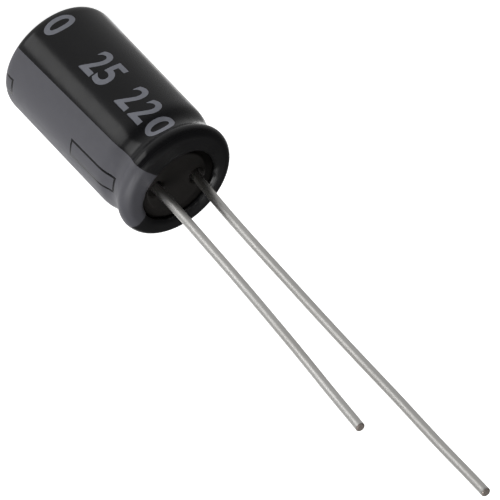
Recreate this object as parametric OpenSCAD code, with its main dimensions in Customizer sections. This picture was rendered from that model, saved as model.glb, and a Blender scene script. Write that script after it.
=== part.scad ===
// Radial aluminium electrolytic capacitor, standing on its head with its leads up.
// The seating plane of the head is z = 0, the can's axis is Z, and the negative lead is on the -X side.

/* [Can] */
// Outer diameter of the bare aluminium can
can_d = 6.3; // [5:0.1:10]
// Height of the can, from the outside of its head to the top of its curled rim
can_h = 11; // [9:0.1:16]
// Thickness of the drawn side wall
can_wall = 0.25; // [0.15:0.01:0.3]
// Thickness of the head
head_t = 0.3; // [0.2:0.01:0.5]
// Outer radius of the corner between the head and the side wall
corner_r = 0.36; // [0.3:0.01:0.6]

/* [Groove and curl] */
// Depth of the rolled groove, from the outside of the wall
groove_depth = 0.5; // [0.3:0.01:0.7]
// Outer radius of the concave bottom of the groove
groove_r = 0.35; // [0.2:0.01:0.6]
// Outer radius of the long bend by which the wall enters the groove
entry_r = 1.5; // [0.6:0.05:2.5]
// How far the bead between the groove and the rim stands out past the wall
bead_out = 0.05; // [0:0.01:0.12]
// Outer radius of the bead and of the rim that curls over the bung
curl_r = 0.42; // [0.35:0.01:0.6]
// Angle that the rim turns from pointing straight out to its tip
curl_turn = 150; // [110:1:170]

/* [Vent] */
// Length of each scored line of the vent cross
vent_len = 3.4; // [1.5:0.1:4]
// Width of the scored line at the surface
vent_w = 0.22; // [0.1:0.01:0.4]
// Depth of the scored line
vent_depth = 0.12; // [0.05:0.01:0.15]

/* [Sleeve] */
// Thickness of the shrunk plastic sleeve
sleeve_t = 0.1; // [0.06:0.01:0.2]
// Radius of the arc by which the sleeve bridges the groove
bridge_r = 1.1; // [0.8:0.05:2]
// Width of the hem that is shrunk over the head, measured from the start of the corner
head_hem = 0.55; // [0.2:0.05:1]
// Diameter of the opening that the hem over the rim leaves round the bung
opening_d = 3.9; // [3.7:0.05:4.2]
// How far shrinking has drawn that opening off the can's axis
opening_shift = 0.35; // [0:0.05:0.4]
// Angle round the can towards which it is drawn
opening_to = 300; // [0:5:355]

/* [Stripe] */
// Angle round the can of the middle of the negative stripe
stripe_at = 185; // [160:1:200]
// Angle that the stripe covers
stripe_sweep = 77; // [40:1:120]

/* [Bung] */
// Height of the rubber bung below the top of the rim
bung_h = 2.9; // [2.6:0.05:3.6]
// Diameter of the raised middle of the bung
plateau_d = 3.6; // [3.4:0.1:4]
// Drop from the top of the rim to the raised middle
plateau_drop = 0.12; // [0:0.01:0.2]
// Radius of the edge of the raised middle
plateau_edge = 0.12; // [0.05:0.01:0.15]
// Diameter of the dimple that each wire leaves the rubber by
dimple_d = 1; // [0.65:0.05:1]
// Depth of that dimple
dimple_depth = 0.3; // [0.1:0.01:0.4]

/* [Lead wires] */
// Diameter of the tinned wire
wire_d = 0.5; // [0.4:0.05:0.6]
// Diameter of the wire's root in the bung, swollen by its weld to the boss
root_d = 0.52; // [0.5:0.01:0.64]
// Distance between the wires where they leave the bung
lead_pitch = 2.5; // [2.1:0.1:2.6]
// Length of the positive wire above the top of the sleeve
positive_len = 25.9; // [10:0.1:35]
// Length of the negative wire above the top of the sleeve
negative_len = 19.2; // [8:0.1:30]
// Angle that the positive wire leans towards the negative side
positive_lean = 1.8; // [0.5:0.1:4]
// Angle that the negative wire leans the same way
negative_lean = 2.7; // [0.5:0.1:4]
// Radius of the slight bend where a wire starts to lean
bend_r = 4; // [2:0.5:8]
// Width of the edge broken by the cutter at a wire's end
wire_chamfer = 0.05; // [0.01:0.01:0.1]

/* [Tabs] */
// Diameter of the round aluminium boss that fills the bung's bore
boss_d = 1; // [0.8:0.05:1.2]
// Height of rubber between the top of the boss and the floor of the dimple
boss_cover = 0.45; // [0.2:0.05:0.8]
// Length of boss that shows below the bung
boss_below = 0.2; // [0.1:0.05:0.4]
// Length over which the boss is pressed flat
flatten_len = 0.7; // [0.4:0.05:1]
// Thickness of the flat tab
tab_t = 0.22; // [0.15:0.01:0.3]
// Width of the flat tab
tab_w = 1.5; // [1.1:0.05:1.8]
// Length of the flat tab inside the winding
tab_len = 5; // [3:0.1:6]

/* [Winding] */
// Clearance between the lap of the closing tape and the side wall
winding_gap = 0.2; // [0.1:0.05:0.5]
// Gap between the head and the wound element
winding_lift = 0.2; // [0.05:0.05:0.3]
// Gap between the wound element and the pressed end of the bosses
winding_drop = 0.1; // [0.05:0.05:0.3]
// Diameter of the hole that the winding spindle leaves
core_d = 0.8; // [0.5:0.1:1.2]
// Thickness of one turn of two foils and two papers
turn_t = 0.26; // [0.24:0.01:0.4]
// Width of the foils in that turn, which stop short of the papers
foil_t = 0.13; // [0.06:0.01:0.16]
// Depth by which the foils stop short at each end
foil_inset = 0.35; // [0.1:0.05:0.6]
// Clearance round a tab in its slot
slot_gap = 0.02; // [0.01:0.01:0.05]
// Thickness of the tape that closes the winding
tape_t = 0.05; // [0.03:0.01:0.1]
// Width of the tape
tape_w = 4; // [2:0.1:5]
// Angle by which the tape overlaps its own start
tape_lap = 40; // [10:5:90]

/* [Hidden] */
$fn = 96;

// Degrees of arc between two points of a bend
arc_step = 7.5;
// Points in one turn of the winding's spiral
turn_points = 18;
// A cutter runs this far past what it cuts
over = 1;

// Radii and heights of the can
can_r = can_d / 2;
head_z = sleeve_t;
rim_z = head_z + can_h;
inner_r = can_r - can_wall;
inner_head_z = head_z + head_t;
seat_z = rim_z + sleeve_t;

// Centres of the bends, each as [radius, height]
bead_c = [can_r + bead_out - curl_r, rim_z - curl_r];
groove_min_r = can_r - groove_depth;
bead_lean = acos(1 - (groove_depth + bead_out) / (groove_r + curl_r));
groove_c = [groove_min_r + groove_r, bead_c[1] - (groove_r + curl_r) * sin(bead_lean)];
entry_lean = acos(1 - groove_depth / (groove_r + entry_r));
entry_c = [can_r - entry_r, groove_c[1] - (groove_r + entry_r) * sin(entry_lean)];
corner_c = [can_r - corner_r, head_z + corner_r];

// The sleeve's bridge is a circle that touches the entry bend and the bead from outside
bridge_c = touching_centre(entry_c, entry_r + bridge_r, bead_c, curl_r + bridge_r);
bridge_from = angle_to(entry_c, bridge_c);
bridge_to = angle_to(bead_c, bridge_c);

// The hem over the rim is turned in to here, and its opening is then cut off centre
hem_reach = opening_d / 2 - opening_shift - sleeve_t;

// Radii and heights of the bung
bung_z = rim_z - bung_h;
plateau_z = rim_z - plateau_drop;
plateau_r = plateau_d / 2;
tip_r = curl_r - can_wall / 2;
moat_r = bead_c[0] + tip_r * cos(curl_turn);
moat_z = bead_c[1] + tip_r * sin(curl_turn);
dimple_z = plateau_z - dimple_depth;
boss_top = dimple_z - boss_cover;

// Heights of the tabs and the winding
flat_top = bung_z - boss_below;
flat_bottom = flat_top - flatten_len;
winding_z = inner_head_z + winding_lift;
winding_top = flat_bottom - winding_drop;
winding_h = winding_top - winding_z;
winding_r = inner_r - winding_gap - 2 * tape_t;
turns = floor((winding_r - core_d / 2) / turn_t - 0.5);

function unit(a) = [cos(a), sin(a)];
function angle_to(from, to) = atan2(to[1] - from[1], to[0] - from[0]);

function reversed(p) = [for (i = [len(p) - 1 : -1 : 0]) p[i]];

// Points on an arc about a centre, at the two given angles and at each whole step between them
function arc(c, r, from, to) =
    let (
        first = floor(min(from, to) / arc_step) + 1,
        last = ceil(max(from, to) / arc_step) - 1,
        between = [for (i = [first : 1 : last]) i * arc_step],
        angles = concat([min(from, to)], between, [max(from, to)])
    )
    [for (a = (from < to ? angles : reversed(angles))) c + r * unit(a)];

// The point at distance da from a and db from b, on the side away from the axis
function touching_centre(a, da, b, db) =
    let (
        d = norm(b - a),
        along = (da * da - db * db + d * d) / (2 * d),
        side = sqrt(da * da - along * along),
        way = (b - a) / d
    )
    a + along * way + side * [way[1], -way[0]];

// Outside and inside of the can from the groove's entry to the tip of the curl
function rim_line(offset) = concat(
    arc(entry_c, entry_r - offset, 0, entry_lean),
    arc(groove_c, groove_r + offset, 180 + entry_lean, 180 - bead_lean),
    arc(bead_c, curl_r - offset, -bead_lean, curl_turn)
);

// The sleeve's line, offset outwards from the can's own surface
function sleeve_line(offset) = concat(
    [[corner_c[0] - head_hem, head_z - offset]],
    arc(corner_c, corner_r + offset, -90, 0),
    arc(entry_c, entry_r + offset, 0, bridge_from),
    arc(bridge_c, bridge_r - offset, 180 + bridge_from, 180 + bridge_to),
    arc(bead_c, curl_r + offset, bridge_to, 90),
    [[hem_reach, rim_z + offset]]
);

module can_section() {
    outside = concat(
        [[0, head_z]],
        arc(corner_c, corner_r, -90, 0),
        rim_line(0)
    );
    inside = concat(
        [[0, inner_head_z]],
        [[inner_r - max(corner_r - can_wall, 0.01), inner_head_z]],
        [[inner_r, inner_head_z + max(corner_r - can_wall, 0.01)]],
        rim_line(can_wall)
    );
    polygon(concat(outside, reversed(inside)));
}

// One scored line of the vent, a shallow V across the head
module vent_line() {
    translate([0, 0, head_z])
        rotate([90, 0, 90])
            linear_extrude(height = vent_len, center = true)
                polygon([[-vent_w, -vent_depth], [vent_w, -vent_depth], [0, vent_depth]]);
}

module can() {
    color("silver")
        difference() {
            rotate_extrude() can_section();
            vent_line();
            rotate([0, 0, 90]) vent_line();
        }
}

module bung_section() {
    polygon(concat(
        [[0, bung_z], [inner_r, bung_z]],
        rim_line(can_wall),
        [[moat_r, moat_z]],
        [[plateau_r, moat_z]],
        arc([plateau_r - plateau_edge, plateau_z - plateau_edge], plateau_edge, 0, 90),
        [[0, plateau_z]]
    ));
}

module bung() {
    color([0.09, 0.085, 0.08])
        difference() {
            rotate_extrude() bung_section();
            for (side = [-1, 1])
                translate([side * lead_pitch / 2, 0, 0]) {
                    translate([0, 0, bung_z - over])
                        cylinder(d = boss_d, h = boss_top - bung_z + over);
                    translate([0, 0, bung_z])
                        cylinder(d = root_d, h = bung_h);
                    translate([0, 0, dimple_z])
                        cylinder(d1 = root_d, d2 = dimple_d, h = dimple_depth);
                }
        }
}

module sleeve_wall() {
    difference() {
        rotate_extrude()
            polygon(concat(sleeve_line(sleeve_t), reversed(sleeve_line(0))));
        rotate([0, 0, opening_to])
            translate([opening_shift, 0, rim_z - sleeve_t])
                cylinder(d = opening_d, h = 3 * sleeve_t);
    }
}

// A wedge round the axis that covers the stripe
module stripe_wedge() {
    rotate([0, 0, stripe_at - stripe_sweep / 2])
        rotate_extrude(angle = stripe_sweep)
            translate([0, -over]) square([can_d, seat_z + 2 * over]);
}

module sleeve() {
    color([0.07, 0.07, 0.08])
        difference() {
            sleeve_wall();
            stripe_wedge();
        }
    color([0.36, 0.36, 0.39])
        intersection() {
            sleeve_wall();
            stripe_wedge();
        }
}

// A wire that stands upright in the bung and leans from a small bend at the sleeve's top
module wire(len, lean) {
    rise = bend_r * tan(lean / 2);
    straight = (len - rise) / cos(lean) - rise;
    lap = wire_chamfer / 2;
    cylinder(d = root_d, h = seat_z - boss_top + lap);
    translate([0, 0, seat_z - boss_top + rise])
        rotate([0, -lean, 0])
            translate([0, 0, rise]) {
                translate([-bend_r, 0, 0])
                    rotate([-90, 0, 0])
                        rotate_extrude(angle = lean)
                            translate([bend_r, 0]) circle(d = wire_d);
                cylinder(d = wire_d, h = straight - wire_chamfer);
                translate([0, 0, straight - wire_chamfer])
                    cylinder(d1 = wire_d, d2 = wire_d - 2 * wire_chamfer, h = wire_chamfer);
            }
}

module positive_wire() {
    color([0.78, 0.77, 0.74])
        translate([lead_pitch / 2, 0, boss_top])
            wire(positive_len, positive_lean);
}

module negative_wire() {
    color([0.78, 0.77, 0.74])
        translate([-lead_pitch / 2, 0, boss_top])
            wire(negative_len, negative_lean);
}

// A round boss pressed flat at its lower end, to be stitched to a foil
module tab() {
    thin = 0.01;
    translate([0, 0, flat_top])
        cylinder(d = boss_d, h = boss_top - flat_top);
    hull() {
        translate([0, 0, flat_top - thin])
            cylinder(d = boss_d, h = thin, $fn = 32);
        translate([-tab_t / 2, -tab_w / 2, flat_bottom])
            cube([tab_t, tab_w, thin]);
    }
    translate([-tab_t / 2, -tab_w / 2, winding_top - tab_len])
        cube([tab_t, tab_w, flat_bottom - winding_top + tab_len + thin]);
}

module positive_tab() {
    color([0.7, 0.71, 0.72])
        translate([lead_pitch / 2, 0, 0]) tab();
}

module negative_tab() {
    color([0.7, 0.71, 0.72])
        translate([-lead_pitch / 2, 0, 0]) tab();
}

// The ribbon that the foils take between the papers, from the spindle outwards
module foil_spiral() {
    last = turns * turn_points;
    start_r = core_d / 2 + turn_t - foil_t;
    function spiral(extra) = [
        for (i = [0 : last])
            (start_r + turn_t * i / turn_points + extra) * unit(360 * i / turn_points)
    ];
    polygon(concat(spiral(foil_t), reversed(spiral(0))));
}

module winding() {
    color([0.86, 0.82, 0.7])
        difference() {
            translate([0, 0, winding_z])
                cylinder(r = winding_r, h = winding_h);
            translate([0, 0, winding_z - over])
                cylinder(d = core_d, h = winding_h + 2 * over);
            for (z = [winding_z - over, winding_top - foil_inset])
                translate([0, 0, z])
                    linear_extrude(height = over + foil_inset) foil_spiral();
            for (side = [-1, 1])
                translate([
                    side * lead_pitch / 2 - tab_t / 2 - slot_gap,
                    -tab_w / 2 - slot_gap,
                    winding_top - tab_len - slot_gap
                ])
                    cube([tab_t + 2 * slot_gap, tab_w + 2 * slot_gap, tab_len + over]);
        }
}

module closing_tape() {
    color([0.75, 0.62, 0.35])
        translate([0, 0, winding_z + (winding_h - tape_w) / 2]) {
            rotate_extrude()
                translate([winding_r, 0]) square([tape_t, tape_w]);
            rotate_extrude(angle = tape_lap)
                translate([winding_r + tape_t, 0]) square([tape_t, tape_w]);
        }
}

sleeve();
can();
bung();
positive_wire();
negative_wire();
positive_tab();
negative_tab();
winding();
closing_tape();
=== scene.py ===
"""A radial aluminium electrolytic capacitor, standing on its head with its leads up.

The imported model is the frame: metres, Z along the can, the head on the floor, the negative
lead on the -X side. Sizes are in millimetres and are brought to metres where a mesh is made.
"""

import bisect
import math

import bmesh
import bpy
from mathutils import Matrix, Vector, noise


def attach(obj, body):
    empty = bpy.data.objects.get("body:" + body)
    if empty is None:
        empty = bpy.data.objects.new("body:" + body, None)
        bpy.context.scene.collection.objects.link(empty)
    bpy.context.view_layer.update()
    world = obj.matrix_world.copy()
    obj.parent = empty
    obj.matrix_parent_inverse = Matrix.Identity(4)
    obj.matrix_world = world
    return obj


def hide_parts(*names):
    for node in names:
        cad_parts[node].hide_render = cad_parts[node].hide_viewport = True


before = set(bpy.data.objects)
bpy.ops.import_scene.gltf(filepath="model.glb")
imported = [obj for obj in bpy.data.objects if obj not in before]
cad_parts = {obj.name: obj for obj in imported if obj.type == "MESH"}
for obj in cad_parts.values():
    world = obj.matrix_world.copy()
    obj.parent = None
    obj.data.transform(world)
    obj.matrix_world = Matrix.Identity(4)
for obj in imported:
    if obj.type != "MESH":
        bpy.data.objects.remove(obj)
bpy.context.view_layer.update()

# Aluminium tabs
# Soft aluminium wire pressed flat at one end and stitched to a foil. The round end is the boss
# that fills the bung's bore.

MM = 0.001


def hex_colour(code):
    """An sRGB hex colour as Blender's linear one."""
    parts = [int(code[i : i + 2], 16) / 255 for i in (1, 3, 5)]
    return [p / 12.92 if p <= 0.04045 else ((p + 0.055) / 1.055) ** 2.4 for p in parts] + [1.0]


def add_node(tree, kind, inputs=None, **settings):
    """Adds a node with its settings. An input is a value, or a socket to link from."""
    node = tree.nodes.new(kind)
    for name, value in settings.items():
        setattr(node, name, value)
    for name, value in (inputs or {}).items():
        if isinstance(value, bpy.types.NodeSocket):
            tree.links.new(value, node.inputs[name])
        else:
            node.inputs[name].default_value = value
    return node


def new_material(name):
    """A material and its node tree, still empty."""
    material = bpy.data.materials.new(name)
    material.use_nodes = True
    material.node_tree.nodes.clear()
    return material, material.node_tree


def surface(tree, inputs):
    """Ends a material's tree: the shader, with its inputs, and the output."""
    shader = add_node(tree, "ShaderNodeBsdfPrincipled", inputs)
    add_node(tree, "ShaderNodeOutputMaterial", {"Surface": shader.outputs["BSDF"]})


def grain(tree, size, stretch=(1, 1, 1), detail=3.0):
    """A noise whose grains are size millimetres across, drawn out by stretch."""
    place = add_node(tree, "ShaderNodeTexCoord").outputs["Object"]
    scale = [1 / (MM * size * share) for share in stretch]
    drawn = add_node(tree, "ShaderNodeMapping", {"Vector": place, "Scale": scale})
    speckle = add_node(tree, "ShaderNodeTexNoise", {
        "Vector": drawn.outputs["Vector"], "Scale": 1.0, "Detail": detail,
    })
    return speckle.outputs["Fac"]


def varied(tree, pattern, low, high):
    """What a noise varies: a number from low to high, or a colour between two hex colours."""
    of_colour = isinstance(low, str)
    ends = {"To Min": 0, "To Max": 1} if of_colour else {"To Min": low, "To Max": high}
    middle_range = {"Value": pattern, "From Min": 0.3, "From Max": 0.7}
    share = add_node(tree, "ShaderNodeMapRange", middle_range | ends).outputs["Result"]
    if not of_colour:
        return share
    colours = {"Factor": share, 6: hex_colour(low), 7: hex_colour(high)}
    return add_node(tree, "ShaderNodeMix", colours, data_type="RGBA").outputs[2]


def relief(tree, *layers):
    """Bumps lying on one another, lowest first: each a pattern and its depth in millimetres."""
    normal = None
    for pattern, depth in layers:
        inputs = {"Height": pattern, "Strength": 1.0, "Distance": depth * MM}
        if normal:
            inputs["Normal"] = normal
        normal = add_node(tree, "ShaderNodeBump", inputs).outputs["Normal"]
    return normal


def finish_node(name, material):
    """Gives a material to a CAD node that keeps its own shape."""
    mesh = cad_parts[name].data
    mesh.materials.clear()
    mesh.materials.append(material)


# Etched aluminium: the acid leaves it dull and slightly grey.
etched, tree = new_material("etched_aluminium")
surface(tree, {
    "Base Color": varied(tree, grain(tree, 0.3), "#b4b6b7", "#c6c8c8"),
    "Metallic": 1.0,
    "Roughness": varied(tree, grain(tree, 0.12), 0.45, 0.6),
    "Normal": relief(tree, (grain(tree, 0.05), 0.002)),
})
finish_node("positive_tab", etched)
finish_node("negative_tab", etched)

# Wound element
# Two etched foils with two papers between them, rolled on a spindle and soaked in electrolyte.
# The last turn is paper, so that is what shows.

# Damp capacitor paper: a dull buff skin with fibres along the roll.
paper, tree = new_material("damp_capacitor_paper")
surface(tree, {
    "Base Color": varied(tree, grain(tree, 0.25, (1, 1, 4)), "#a99b78", "#bdb08c"),
    "IOR": 1.5,
    "Roughness": varied(tree, grain(tree, 0.2), 0.45, 0.65),
    "Normal": relief(tree, (grain(tree, 0.08, (1, 1, 3)), 0.006)),
})
finish_node("winding", paper)

# Closing tape
# A strip of thin polypropylene film with an adhesive back, pressed round the winding.
# It holds the last turn down and overlaps itself.

# Polypropylene film over its adhesive: amber, with a soft gloss.
tape, tree = new_material("polypropylene_tape")
surface(tree, {
    "Base Color": varied(tree, grain(tree, 0.8), "#b98c46", "#c79a53"),
    "IOR": 1.49,
    "Roughness": varied(tree, grain(tree, 0.4), 0.28, 0.4),
    "Normal": relief(tree, (grain(tree, 0.2, (1, 1, 0.2)), 0.002)),
})
finish_node("closing_tape", tape)

# Lead wires
# Copper-clad steel wire, drawn and then tinned bright, welded end on to each tab's boss.
# Each is cropped square, and the shorter one is the negative.

SIDES = {"positive": 1, "negative": -1}
LEAD_PITCH = 2.5
WIRE_D = 0.5
LEAD_LENGTHS = {"positive": 25.9, "negative": 19.2}
BOSS_TOP = 10.23
RIM_Z = 11.1
FILM_T = 0.1
BEND_R = 4.0
CROP_BURR = 0.05
CROP_ROUND = 0.03
WIRE_ROWS = 160
WIRE_SIDES = 48
AXIS_R = 0.001
SAME_PLACE = 1e-5

# Handling leaves each wire with a lean in degrees, a bow and a sway in millimetres, and kinks.
LEANS = {"positive": 1.8, "negative": 2.7}
BOWS = {"positive": -0.26, "negative": 0.12}
SWAYS = {"positive": 0.13, "negative": -0.13}
BOW_CURVE = 0.6
KINK_SEEDS = {"positive": 3.7, "negative": 11.3}
KINK = 0.05
KINK_LENGTH = 6.25
KINK_EASE = 4.0


def full_turn(sides):
    """Angles that divide a full turn, in radians."""
    return [math.radians(360 / sides * i) for i in range(sides)]


def lathe(name, line, angles, shift=None, closed=True):
    """A mesh turned from a section, in metres. shift moves a point of the turned surface.

    A line that isn't closed starts and ends next to the axis, where a small face closes it.
    """
    steps = zip(line, line[1:])
    line = [line[0]] + [end for start, end in steps if (end - start).length > SAME_PLACE]
    points = []
    for place in line:
        for angle in angles:
            point = Vector((place.x * math.cos(angle), place.x * math.sin(angle), place.y))
            points.append((shift(point) if shift else point) * MM)
    count = len(angles)
    rows = len(line) if closed else len(line) - 1
    faces = [
        (
            row * count + side,
            row * count + (side + 1) % count,
            (row + 1) % len(line) * count + (side + 1) % count,
            (row + 1) % len(line) * count + side,
        )
        for row in range(rows)
        for side in range(count)
    ]
    if not closed:
        faces += [tuple(range(count))[::-1], tuple(range(rows * count, rows * count + count))]
    mesh = bpy.data.meshes.new(name)
    mesh.from_pydata(points, [], faces)
    mesh.shade_smooth()
    piece = bpy.data.objects.new(name, mesh)
    bpy.context.collection.objects.link(piece)
    return piece


# Bright tin. The die's lines run along the wire, so they spread its highlight round it.
# They are drawn coarser than real ones, so that they show.
tin, tree = new_material("bright_tinned_wire")
outward = add_node(tree, "ShaderNodeNewGeometry").outputs["Normal"]
upright = Vector((0, 0, 1))
around = add_node(
    tree, "ShaderNodeVectorMath", {0: upright, 1: outward}, operation="CROSS_PRODUCT"
)
surface(tree, {
    "Base Color": varied(tree, grain(tree, 0.5, (1, 1, 12)), "#f0eeea", "#f9f8f5"),
    "Metallic": 1.0,
    "Roughness": varied(tree, grain(tree, 0.35, (1, 1, 12)), 0.4, 0.46),
    "Anisotropic": 0.7,
    "Tangent": around.outputs["Vector"],
    "Normal": relief(tree, (grain(tree, 0.05, (1, 1, 60)), 0.002)),
})

# Sheared steel: the cropped end shows the wire's core, duller than the tin and torn.
core, tree = new_material("sheared_steel")
surface(tree, {
    "Base Color": varied(tree, grain(tree, 0.1), "#968c85", "#b2a8a1"),
    "Metallic": 0.5,
    "Roughness": varied(tree, grain(tree, 0.08), 0.45, 0.6),
    "Normal": relief(tree, (grain(tree, 0.06, (6, 1, 1)), 0.004)),
})


def lead(side):
    """A wire from its boss to its cropped end, upright as far as the seat on the board."""
    lean = math.radians(LEANS[side])
    rise = BEND_R * math.tan(lean / 2)
    start = Vector((SIDES[side] * LEAD_PITCH / 2, 0, BOSS_TOP))
    stem = RIM_Z + FILM_T - BOSS_TOP + rise
    full = stem + (LEAD_LENGTHS[side] - rise) / math.cos(lean)
    radius = WIRE_D / 2
    rows = [full * i / WIRE_ROWS for i in range(WIRE_ROWS)] + [stem - rise, stem, stem + rise]
    shank = [Vector((AXIS_R, 0))] + [Vector((radius, row)) for row in sorted(rows)]
    crop = [Vector((radius, full - CROP_BURR)), Vector((radius - CROP_ROUND, full))]
    crop += [Vector((radius * share, full)) for share in (0.6, 0.3)] + [Vector((AXIS_R, full))]

    def handled(point):
        """Where handling leaves a point of the straight wire."""
        share = max(0.0, point.z / full)
        bow = BOWS[side] * math.sin(math.pi * share**BOW_CURVE) + SWAYS[side] * share**2
        along = Vector((KINK_SEEDS[side], 0, point.z / KINK_LENGTH))
        kinks = Vector((noise.noise(along), noise.noise(along + Vector((5, 5, 5))), 0))
        kinks *= KINK * min(1.0, point.z / KINK_EASE) * min(1.0, (full - point.z) / KINK_EASE)
        beyond = max(0.0, point.z - stem + rise)
        bent = lean * min(1.0, beyond / (2 * rise))
        aside = Vector((point.x + bow, point.y, 0)) + kinks
        way = Vector((-math.sin(bent), 0, math.cos(bent)))
        foot = start + Vector((0, 0, point.z - beyond))
        return foot + way * beyond + Matrix.Rotation(-bent, 3, "Y") @ aside

    piece = lathe(f"{side}_lead", shank + crop, full_turn(WIRE_SIDES), handled, closed=False)
    piece.data.materials.append(tin)
    piece.data.materials.append(core)
    for face in piece.data.polygons:
        face.material_index = int(face.index >= len(shank) * WIRE_SIDES)
    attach(piece, "root")
    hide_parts(f"{side}_wire")


for side in SIDES:
    lead(side)

# Rubber bung
# Moulded from carbon-black filled rubber and pinched by the can's groove, so its waist follows
# the groove's arcs. Its middle stands up inside the curl, with a dimple round each wire.

BUNG_H = 2.9
PLATEAU_R = 1.8
PLATEAU_DROP = 0.12
PLATEAU_EDGE = 0.12
PLATEAU_RINGS = 48
DIMPLE_R = 0.55
DIMPLE_SLOPE = 0.26
DIMPLE_DEPTH = 0.3
SWELL = 0.02
TOP_SKIN = 0.02
BUNG_SIDES = 240

# The can's wall, rolled in at the groove and curled over the bung.
CAN_R = 3.15
CAN_WALL = 0.25
GROOVE_DEPTH = 0.5
GROOVE_R = 0.35
ENTRY_R = 1.5
BEAD_OUT = 0.05
CURL_R = 0.42
CURL_TURN = 150


def turned(angle):
    """A unit vector at an angle in degrees, in a section's plane of radius and height."""
    return Vector((math.cos(math.radians(angle)), math.sin(math.radians(angle))))


def arc(centre, radius, start, end, step=4.0):
    """Points on an arc of a section, from one angle to another."""
    count = max(2, math.ceil(abs(end - start) / step))
    angles = [start + (end - start) * i / count for i in range(count + 1)]
    return [centre + radius * turned(angle) for angle in angles]


# Centres of the arcs, from the rim down: the bead, the groove and the long bend into it.
bead = Vector((CAN_R + BEAD_OUT - CURL_R, RIM_Z - CURL_R))
bead_lean = math.degrees(math.acos(1 - (GROOVE_DEPTH + BEAD_OUT) / (GROOVE_R + CURL_R)))
groove = Vector((
    CAN_R - GROOVE_DEPTH + GROOVE_R,
    bead.y - (GROOVE_R + CURL_R) * math.sin(math.radians(bead_lean)),
))
entry_lean = math.degrees(math.acos(1 - GROOVE_DEPTH / (GROOVE_R + ENTRY_R)))
entry = Vector((
    CAN_R - ENTRY_R,
    groove.y - (GROOVE_R + ENTRY_R) * math.sin(math.radians(entry_lean)),
))

bung_base = RIM_Z - BUNG_H
plateau_z = RIM_Z - PLATEAU_DROP
plateau_flat_r = PLATEAU_R - PLATEAU_EDGE
moat = bead + (CURL_R - CAN_WALL / 2) * turned(CURL_TURN)
bung_line = (
    [Vector((AXIS_R, bung_base)), Vector((CAN_R - CAN_WALL, bung_base))]
    + arc(entry, ENTRY_R - CAN_WALL, 0, entry_lean)
    + arc(groove, GROOVE_R + CAN_WALL, 180 + entry_lean, 180 - bead_lean)
    + arc(bead, CURL_R - CAN_WALL, -bead_lean, CURL_TURN)
    + [moat, Vector((PLATEAU_R, moat.y))]
    + arc(Vector((plateau_flat_r, plateau_z - PLATEAU_EDGE)), PLATEAU_EDGE, 0, 90, step=9)
)
bung_top = [
    Vector((plateau_flat_r * (1 - ring / PLATEAU_RINGS), plateau_z))
    for ring in range(1, PLATEAU_RINGS)
]
bung_top.append(Vector((AXIS_R, plateau_z)))


def bung_shift(point):
    """Sinks the dimples into the raised middle and gives it a moulded skin's slight swell."""
    if point.z < plateau_z - TOP_SKIN:
        return point
    sink = 0.0
    for side in SIDES.values():
        away = math.hypot(point.x - side * LEAD_PITCH / 2, point.y)
        slope = max(0.0, min(1.0, (DIMPLE_R - away) / DIMPLE_SLOPE))
        sink = max(sink, DIMPLE_DEPTH * slope * slope * (3 - 2 * slope))
    swell = SWELL * math.cos(math.pi / 2 * min(1.0, math.hypot(point.x, point.y) / PLATEAU_R))
    return Vector((point.x, point.y, point.z - sink + swell))


bung = lathe(
    "rubber_bung", bung_line + bung_top, full_turn(BUNG_SIDES), bung_shift, closed=False
)

# Carbon black rubber from a mould: nearly matt, with a faint grey bloom and a fine grit.
rubber, tree = new_material("carbon_black_rubber")
bloom = grain(tree, 0.9)
surface(tree, {
    "Base Color": varied(tree, bloom, "#171513", "#1d1a18"),
    "IOR": 1.5,
    "Specular IOR Level": 0.3,
    "Roughness": varied(tree, bloom, 0.6, 0.75),
    "Normal": relief(tree, (grain(tree, 0.06, detail=4.0), 0.006)),
})
bung.data.materials.append(rubber)
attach(bung, "root")
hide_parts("bung")

# Can
# Impact-extruded from a slug of pure aluminium, filled, rolled in at the groove and curled over
# the bung. The bare head shows inside the sleeve's lower hem, with the scored cross of its vent.

# Extruded aluminium: bright, with fine lines along the punch's stroke.
extruded, tree = new_material("extruded_aluminium")
surface(tree, {
    "Base Color": varied(tree, grain(tree, 0.6), "#d3d5d6", "#e2e3e4"),
    "Metallic": 1.0,
    "Roughness": varied(tree, grain(tree, 0.4), 0.24, 0.36),
    "Normal": relief(tree, (grain(tree, 0.08, (1, 1, 40)), 0.003)),
})
finish_node("can", extruded)

# Shrunk sleeve
# A tube of thin black PVC film, printed flat, slipped over the can and shrunk on with heat.
# It bridges the rolled groove in a smooth neck, and its two hems lie on the head and the rim.

HEAD_Z = 0.1
CORNER_R = 0.36
HEAD_HEM = 0.55
BRIDGE_R = 1.1
SLEEVE_SIDES = 288
OUTER_STEP = 0.25
INNER_STEP = 0.5

# Taut film draws its bends out over a length, along the can and at the bead.
FILM_EASE = 0.28
BEAD_EASE = 0.08
EASE_TAPS = 7
EASE_STEP = 0.05
STRAIGHT = 0.001

# The opening over the bung: an oval off centre, cut uneven, its lip dished and turned down.
OPENING_R = 2.1
OPENING_OVAL = 0.07
OVAL_TO = 38
OPENING_SHIFT = 0.28
OPENING_TO = 300
WAVE, WAVE_RATE = 0.06, 1.9
RIPPLE, RIPPLE_RATE = 0.03, 6.0
DISH_NEAR, DISH_ADDED, DISH_CURVE = 0.02, 0.1, 1.2
DISH_WAVE, DISH_RATE = 0.01, 2.3
LIP_DOWN, LIP_CURVE = 0.09, 8
PLEAT, PLEAT_REACH, PLEAT_RATE, PLEAT_SLANT = 0.008, 0.35, 9.0, 0.6

# The stripe and the minus marks left bare in it: degrees round the can, millimetres up it.
STRIPE_AT = 184
STRIPE_SWEEP = 76.5
MARK_AT = 182.9
MARK_SWEEP = 19.2
MARK_LINE = 0.13
MARK_ENDS = ((-2.6, 0.98), (6.17, 9.8))
PRINT_TWIST = -0.42
PRINT_LEVEL = 5.6


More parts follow.
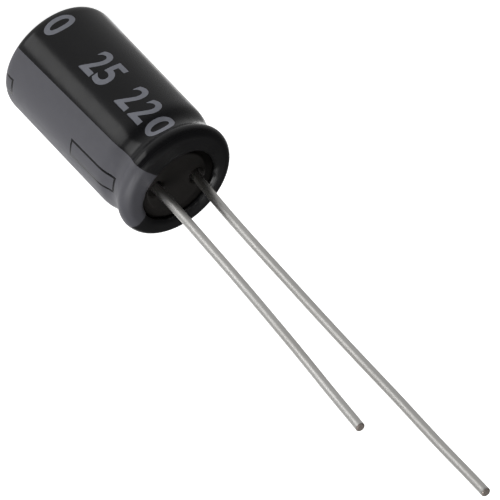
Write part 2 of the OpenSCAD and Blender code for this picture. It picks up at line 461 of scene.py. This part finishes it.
def angle_between(start, end):
    """The way from one point of a section to another, in degrees."""
    return math.degrees(math.atan2(end.y - start.y, end.x - start.x))


def outside_both(a, reach_a, b, reach_b):
    """The point at given distances from two centres, on the side away from the axis."""
    gap = b - a
    along = (reach_a**2 - reach_b**2 + gap.length_squared) / (2 * gap.length)
    aside = math.sqrt(reach_a**2 - along**2)
    way = gap.normalized()
    return a + along * way + aside * Vector((way.y, -way.x))


corner = Vector((CAN_R - CORNER_R, HEAD_Z + CORNER_R))
bridge = outside_both(entry, ENTRY_R + BRIDGE_R, bead, CURL_R + BRIDGE_R)
bridge_from = angle_between(entry, bridge)
bridge_to = angle_between(bead, bridge)


def film_line(out):
    """The sleeve's section from the head's hem to the opening over the bung, out from the can."""
    return (
        [Vector((corner.x - HEAD_HEM, HEAD_Z - out))]
        + arc(corner, CORNER_R + out, -90, 0)
        + arc(entry, ENTRY_R + out, 0, bridge_from, step=2.0)
        + arc(bridge, BRIDGE_R - out, 180 + bridge_from, 180 + bridge_to, step=3.0)
        + arc(bead, CURL_R + out, bridge_to, 90)
        + [Vector((OPENING_R, RIM_Z + out))]
    )


def with_steps(line, step, levels=()):
    """The same section with long runs divided, and with a point at each given height."""
    fine = [line[0]]
    for start, end in zip(line, line[1:]):
        count = max(1, math.ceil((end - start).length / step))
        stops = {i / count for i in range(1, count + 1)}
        for level in levels:
            if min(start.y, end.y) < level < max(start.y, end.y):
                stops.add((level - start.y) / (end.y - start.y))
        fine += [start.lerp(end, stop) for stop in sorted(stops)]
    return fine


def eased(line):
    """The section with its changes of curve drawn out, least at the bead."""
    even = [a for a, b in zip(line, line[1:]) if (b - a).length > SAME_PLACE]
    even = with_steps(even + [line[-1]], EASE_STEP)
    runs = [0.0]
    for start, end in zip(even, even[1:]):
        runs.append(runs[-1] + (end - start).length)

    def at(run):
        """The point of the section at a length along it."""
        place = min(max(bisect.bisect(runs, run) - 1, 0), len(even) - 2)
        share = (run - runs[place]) / (runs[place + 1] - runs[place])
        return even[place].lerp(even[place + 1], min(max(share, 0.0), 1.0))

    soft = []
    for run, place in zip(runs, even):
        share = min(max((place.y - groove.y) / (bead.y - groove.y), 0.0), 1.0)
        reach = FILM_EASE + share * (BEAD_EASE - FILM_EASE)
        taps = [reach * tap / EASE_TAPS for tap in range(-EASE_TAPS, EASE_TAPS + 1)]
        soft.append(sum((at(run + tap) for tap in taps), Vector((0, 0))) / len(taps))
    kept = [soft[0]]
    for before, here, after in zip(soft, soft[1:], soft[2:]):
        if (here - before).angle(after - here) > STRAIGHT:
            kept.append(here)
    return kept + [soft[-1]]


def opening_radius(way):
    """How far the hem's edge lies from the axis, in a level direction."""
    oval = OPENING_OVAL * (2 * way.xy.dot(turned(OVAL_TO)) ** 2 - 1)
    uneven = WAVE * noise.noise(way * WAVE_RATE + Vector((4, 1, 0)))
    uneven += RIPPLE * noise.noise(way * RIPPLE_RATE)
    return OPENING_R + OPENING_SHIFT * way.xy.dot(turned(OPENING_TO)) + oval + uneven


def film_shift(point):
    """What shrinking leaves: a hem drawn off centre, and faint pleats in the neck."""
    radius = math.hypot(point.x, point.y)
    way = Vector((point.x, point.y, 0)) / radius
    moved = point.copy()
    if point.z > bead.y and radius < bead.x:
        share = (bead.x - radius) / (bead.x - OPENING_R)
        edge = bead.x - share * (bead.x - opening_radius(way))
        moved.x, moved.y = way.x * edge, way.y * edge
        dished = DISH_NEAR + DISH_ADDED * (1 + way.xy.dot(turned(OPENING_TO))) / 2
        dished += DISH_WAVE * noise.noise(way * DISH_RATE + Vector((7, 0, 0)))
        moved.z -= dished * share**DISH_CURVE + LIP_DOWN * share**LIP_CURVE
    neck = math.exp(-(((point.z - groove.y) / PLEAT_REACH) ** 2))
    pleat = noise.noise(way * PLEAT_RATE + Vector((0, 0, point.z * PLEAT_SLANT)))
    return moved + way * (PLEAT * neck * pleat)


def printed_shift(point):
    """Leans the grid that carries the print round the can, as the print does, and shrinks it."""
    lean = math.radians(PRINT_TWIST * (point.z - PRINT_LEVEL))
    return film_shift(Matrix.Rotation(lean, 3, "Z") @ point)


# The grid has an edge wherever the ink has one, so the ink's outline is exact.
line_sweep = math.degrees(MARK_LINE / CAN_R)
print_edges = {
    STRIPE_AT - STRIPE_SWEEP / 2,
    STRIPE_AT + STRIPE_SWEEP / 2,
    MARK_AT - MARK_SWEEP / 2,
    MARK_AT - MARK_SWEEP / 2 + line_sweep,
    MARK_AT + MARK_SWEEP / 2 - line_sweep,
    MARK_AT + MARK_SWEEP / 2,
}
sleeve_angles = sorted(set(full_turn(SLEEVE_SIDES)) | {math.radians(a) for a in print_edges})
print_levels = [end for low, high in MARK_ENDS for end in (
    low, low + MARK_LINE, high - MARK_LINE, high
)]
outer = with_steps(eased(film_line(FILM_T)), OUTER_STEP, print_levels)
inner = with_steps(film_line(0), INNER_STEP)[::-1]
rounded_cuts = [
    arc((start + end) / 2, FILM_T / 2, 90, 270, step=30)[1:-1]
    for start, end in ((outer[-1], inner[0]), (inner[-1], outer[0]))
]
sleeve = lathe(
    "shrunk_sleeve", outer + rounded_cuts[0] + inner + rounded_cuts[1], sleeve_angles,
    printed_shift,
)


def inked(angle, height):
    """Whether the film carries ink there: the stripe, apart from the minus marks' outlines."""
    if abs(angle - STRIPE_AT) > STRIPE_SWEEP / 2:
        return False
    aside = abs(angle - MARK_AT) - MARK_SWEEP / 2
    for low, high in MARK_ENDS:
        if aside < 0 and low < height < high:
            return aside < -line_sweep and low + MARK_LINE < height < high - MARK_LINE
    return True


# Black PVC, extruded and then shrunk: a satin gloss with faint lines along the draw.
# The hem over the rim shrinks most, which leaves it duller from just below the rim up.
film, tree = new_material("black_pvc_film")
waviness = grain(tree, 1.6, (1, 1, 2), 1.0)
place = add_node(tree, "ShaderNodeTexCoord").outputs["Object"]
dulled = add_node(tree, "ShaderNodeMapRange", {
    "Value": add_node(tree, "ShaderNodeSeparateXYZ", {"Vector": place}).outputs["Z"],
    "From Min": (RIM_Z - 0.15) * MM, "From Max": (RIM_Z + 0.02) * MM,
    "To Min": 0.0, "To Max": 0.2,
}).outputs["Result"]
satin = varied(tree, grain(tree, 0.7), 0.16, 0.24)
surface(tree, {
    "Base Color": varied(tree, waviness, "#0b0b0d", "#101012"),
    "IOR": 1.46,
    "Roughness": add_node(tree, "ShaderNodeMath", {0: satin, 1: dulled}).outputs["Value"],
    "Normal": relief(tree, (waviness, 0.006), (grain(tree, 0.22, (1, 1, 30)), 0.001)),
})

# Grey flexographic ink on the film: a thin, duller coat that the draw lines show through.
ink, tree = new_material("grey_printing_ink")
waviness = grain(tree, 1.6, (1, 1, 2), 1.0)
surface(tree, {
    "Base Color": varied(tree, grain(tree, 0.5), "#55555b", "#58585e"),
    "IOR": 1.5,
    "Roughness": varied(tree, grain(tree, 0.5), 0.42, 0.52),
    "Normal": relief(tree, (waviness, 0.006), (grain(tree, 0.22, (1, 1, 30)), 0.001)),
})

sleeve.data.materials.append(film)
sleeve.data.materials.append(ink)
for face in sleeve.data.polygons:
    row, side = divmod(face.index, len(sleeve_angles))
    if row < len(outer) - 1:
        ahead = sleeve_angles[(side + 1) % len(sleeve_angles)] or 2 * math.pi
        middle = math.degrees(sleeve_angles[side] + ahead) / 2
        face.material_index = int(inked(middle, (outer[row].y + outer[row + 1].y) / 2))
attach(sleeve, "root")
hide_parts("sleeve")

# Printed numbers
# Plain numbers printed on the flat film in a second, paler ink, read from the head to the leads.
# They repeat along the film, so the last figure of the run before shows at the head.

FIGURE_HEIGHT = 1.74
FIGURE_WIDTH = 0.92
FIGURE_FATTEN = 0.02
FIGURE_CURVE = 8
FIGURE_GRID = 0.06
INK_T = 0.008
BASELINE_AT = 119.8
FIGURES = (("0", 1.02), ("2", 4.38), ("5", 5.4), ("2", 7.44), ("2", 8.6), ("0", 9.72))

# Pale printing ink: opaque, with a low sheen, and thicker than the stripe's.
pale_ink, tree = new_material("pale_printing_ink")
surface(tree, {
    "Base Color": varied(tree, grain(tree, 0.2), "#73757e", "#7a7c85"),
    "IOR": 1.5,
    "Roughness": varied(tree, grain(tree, 0.4), 0.4, 0.5),
    "Normal": relief(tree, (grain(tree, 0.12), 0.001)),
})


def film_radius(height):
    """The film's outer radius at a height, from its section."""
    return next(
        start.lerp(end, (height - start.y) / (end.y - start.y)).x
        for start, end in zip(outer, outer[1:])
        if start.y <= height < end.y
    )


def flat_figure(name, character):
    """The mesh of one figure from a plain typeface, as Blender fills it."""
    letter = bpy.data.curves.new(name, "FONT")
    letter.body = character
    letter.offset = FIGURE_FATTEN
    letter.resolution_u = FIGURE_CURVE
    writing = bpy.data.objects.new(name, letter)
    bpy.context.collection.objects.link(writing)
    bpy.context.view_layer.update()
    flat = bpy.data.meshes.new_from_object(writing)
    bpy.data.objects.remove(writing)
    return flat


def figure(name, character, height):
    """One figure, brought to its size, cut into a grid and laid on the film."""
    flat = flat_figure(name, character)
    low = min(v.co.y for v in flat.vertices)
    high = max(v.co.y for v in flat.vertices)
    left = min(v.co.x for v in flat.vertices)
    right = max(v.co.x for v in flat.vertices)
    shape = bmesh.new()
    shape.from_mesh(flat)
    for vertex in shape.verts:
        vertex.co.x = ((vertex.co.x - left) / (right - left) - 0.5) * FIGURE_WIDTH
        vertex.co.y = (vertex.co.y - low) / (high - low) * FIGURE_HEIGHT
        vertex.co.z = 0
    for way, reach in ((Vector((1, 0, 0)), FIGURE_WIDTH), (Vector((0, 1, 0)), FIGURE_HEIGHT)):
        cuts = math.ceil(2 * reach / FIGURE_GRID)
        for i in range(cuts + 1):
            everything = shape.verts[:] + shape.edges[:] + shape.faces[:]
            place = way * (reach * (2 * i / cuts - 1))
            bmesh.ops.bisect_plane(shape, geom=everything, plane_co=place, plane_no=way)
    bmesh.ops.triangulate(shape, faces=shape.faces[:])
    for vertex in shape.verts:
        z = height + vertex.co.x
        radius = film_radius(z) + INK_T
        angle = math.radians(BASELINE_AT + PRINT_TWIST * (z - PRINT_LEVEL)) - vertex.co.y / CAN_R
        vertex.co = Vector((radius * math.cos(angle), radius * math.sin(angle), z)) * MM
    shape.to_mesh(flat)
    shape.free()
    flat.materials.clear()
    flat.materials.append(pale_ink)
    flat.shade_smooth()
    piece = bpy.data.objects.new(name, flat)
    bpy.context.collection.objects.link(piece)
    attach(piece, "root")


for index, (character, height) in enumerate(FIGURES):
    figure(f"printed_figure_{index + 1}", character, height)

# Camera
# A long lens looks down on the standing part from the side of the negative lead and is rolled,
# so that the can lies to the upper left and its leads run to the lower right.

CAMERA_TILT = 54.8
CAMERA_ROLL = 46.3
CAMERA_TURN = -38.0
CAMERA_DISTANCE = 600.0
FOCAL_PIXELS = 11978.0
FRAME_PIXELS = 500
RIM_PIXEL = (179.35, 184.65)
SENSOR_MM = 36.0
CLIP_START = 0.01

# The part's three axes as the camera sees them: right, down and away.
tilt, roll, turn = (math.radians(a) for a in (CAMERA_TILT, CAMERA_ROLL, CAMERA_TURN))
axis = Vector((
    math.sin(tilt) * math.cos(roll), math.sin(tilt) * math.sin(roll), -math.cos(tilt)
))
across = Vector((-math.sin(roll), math.cos(roll), 0))
part_x = -(math.cos(turn) * across + math.sin(turn) * axis.cross(across))
part_from_seen = Matrix((part_x, axis.cross(part_x), axis))

rim_seen = Vector([
    (pixel - FRAME_PIXELS / 2) / FOCAL_PIXELS * CAMERA_DISTANCE for pixel in RIM_PIXEL
] + [CAMERA_DISTANCE])
camera_place = Vector((0, 0, RIM_Z + FILM_T)) - part_from_seen @ rim_seen
camera_data = bpy.data.cameras.new("camera")
camera_data.lens = FOCAL_PIXELS / FRAME_PIXELS * SENSOR_MM
camera_data.sensor_width = SENSOR_MM
camera_data.clip_start = CLIP_START
camera = bpy.data.objects.new("camera", camera_data)
bpy.context.collection.objects.link(camera)
flip = Matrix(((1, 0, 0), (0, -1, 0), (0, 0, -1)))
camera.matrix_world = (
    Matrix.Translation(camera_place * MM) @ (part_from_seen @ flip).to_4x4()
)
bpy.context.scene.camera = camera

# Studio
# A plain pale floor that gives off light, a white surround and soft boxes round the part.
# The floor isn't seen in gloss, so the boxes below its level show only as reflections.

FLOOR_SIZE = 4.0
FLOOR_GAP = 0.02
LIGHT_DISTANCE = 0.5
PART_MIDDLE = Vector((0, 0, 0.01))

# Each light: its bearing round the part and height above its middle in degrees, width and
# height in metres, and power. All stand LIGHT_DISTANCE away and face the part.
LIGHTS = (
    ("tall_box", 144, -28, 0.19, 0.5, 0.42),
    ("left_box", 195, 32, 0.25, 0.25, 0.9),
    ("low_panel", 292, -37, 0.65, 0.4, 0.6),
    ("overhead_box", 225, 58, 0.25, 0.25, 0.65),
    ("far_box", 310, 60, 0.35, 0.3, 0.055),
)

floor_mesh = bpy.data.meshes.new("floor")
half = FLOOR_SIZE / 2
floor_mesh.from_pydata(
    [(-half, -half, 0), (half, -half, 0), (half, half, 0), (-half, half, 0)], [], [(0, 1, 2, 3)]
)
floor = bpy.data.objects.new("floor", floor_mesh)
bpy.context.collection.objects.link(floor)

# Opal acrylic lit from behind: an even white, on which the part throws no shadow.
card, tree = new_material("lit_white_acrylic")
surface(tree, {
    "Base Color": varied(tree, grain(tree, 2.0), "#f0f0f0", "#f3f3f3"),
    "Roughness": 0.9,
    "Emission Color": hex_colour("#ffffff"),
    "Emission Strength": 1.0,
})
floor_mesh.materials.append(card)
floor.location.z = -FLOOR_GAP * MM
floor.visible_glossy = False

for name, bearing, height, width, tall, power in LIGHTS:
    box = bpy.data.lights.new(name, "AREA")
    box.shape = "RECTANGLE"
    box.size = width
    box.size_y = tall
    box.energy = power
    lamp = bpy.data.objects.new(name, box)
    level = turned(bearing) * math.cos(math.radians(height))
    way = Vector((level.x, level.y, math.sin(math.radians(height))))
    lamp.location = PART_MIDDLE + LIGHT_DISTANCE * way
    lamp.rotation_euler = way.to_track_quat("Z", "Y").to_euler()
    bpy.context.collection.objects.link(lamp)

# The surround is seen as plain white, and lights the part by a gradient, brightest from below.
world = bpy.data.worlds.new("studio")
world.use_nodes = True
sky = world.node_tree
sky.nodes.clear()
from_part = add_node(sky, "ShaderNodeTexCoord").outputs["Generated"]
glow = add_node(sky, "ShaderNodeMapRange", {
    "Value": add_node(sky, "ShaderNodeSeparateXYZ", {"Vector": from_part}).outputs["Z"],
    "From Min": -0.7, "From Max": 0.05, "To Min": 0.44, "To Max": 0.08,
}).outputs["Result"]
seen = add_node(sky, "ShaderNodeLightPath").outputs["Is Camera Ray"]
strength = add_node(sky, "ShaderNodeMath", {0: glow, 1: seen}, operation="MAXIMUM")
background = add_node(sky, "ShaderNodeBackground", {
    "Color": hex_colour("#ffffff"), "Strength": strength.outputs["Value"],
})
add_node(sky, "ShaderNodeOutputWorld", {"Surface": background.outputs["Background"]})
bpy.context.scene.world = world
bpy.context.scene.view_settings.view_transform = "Standard"
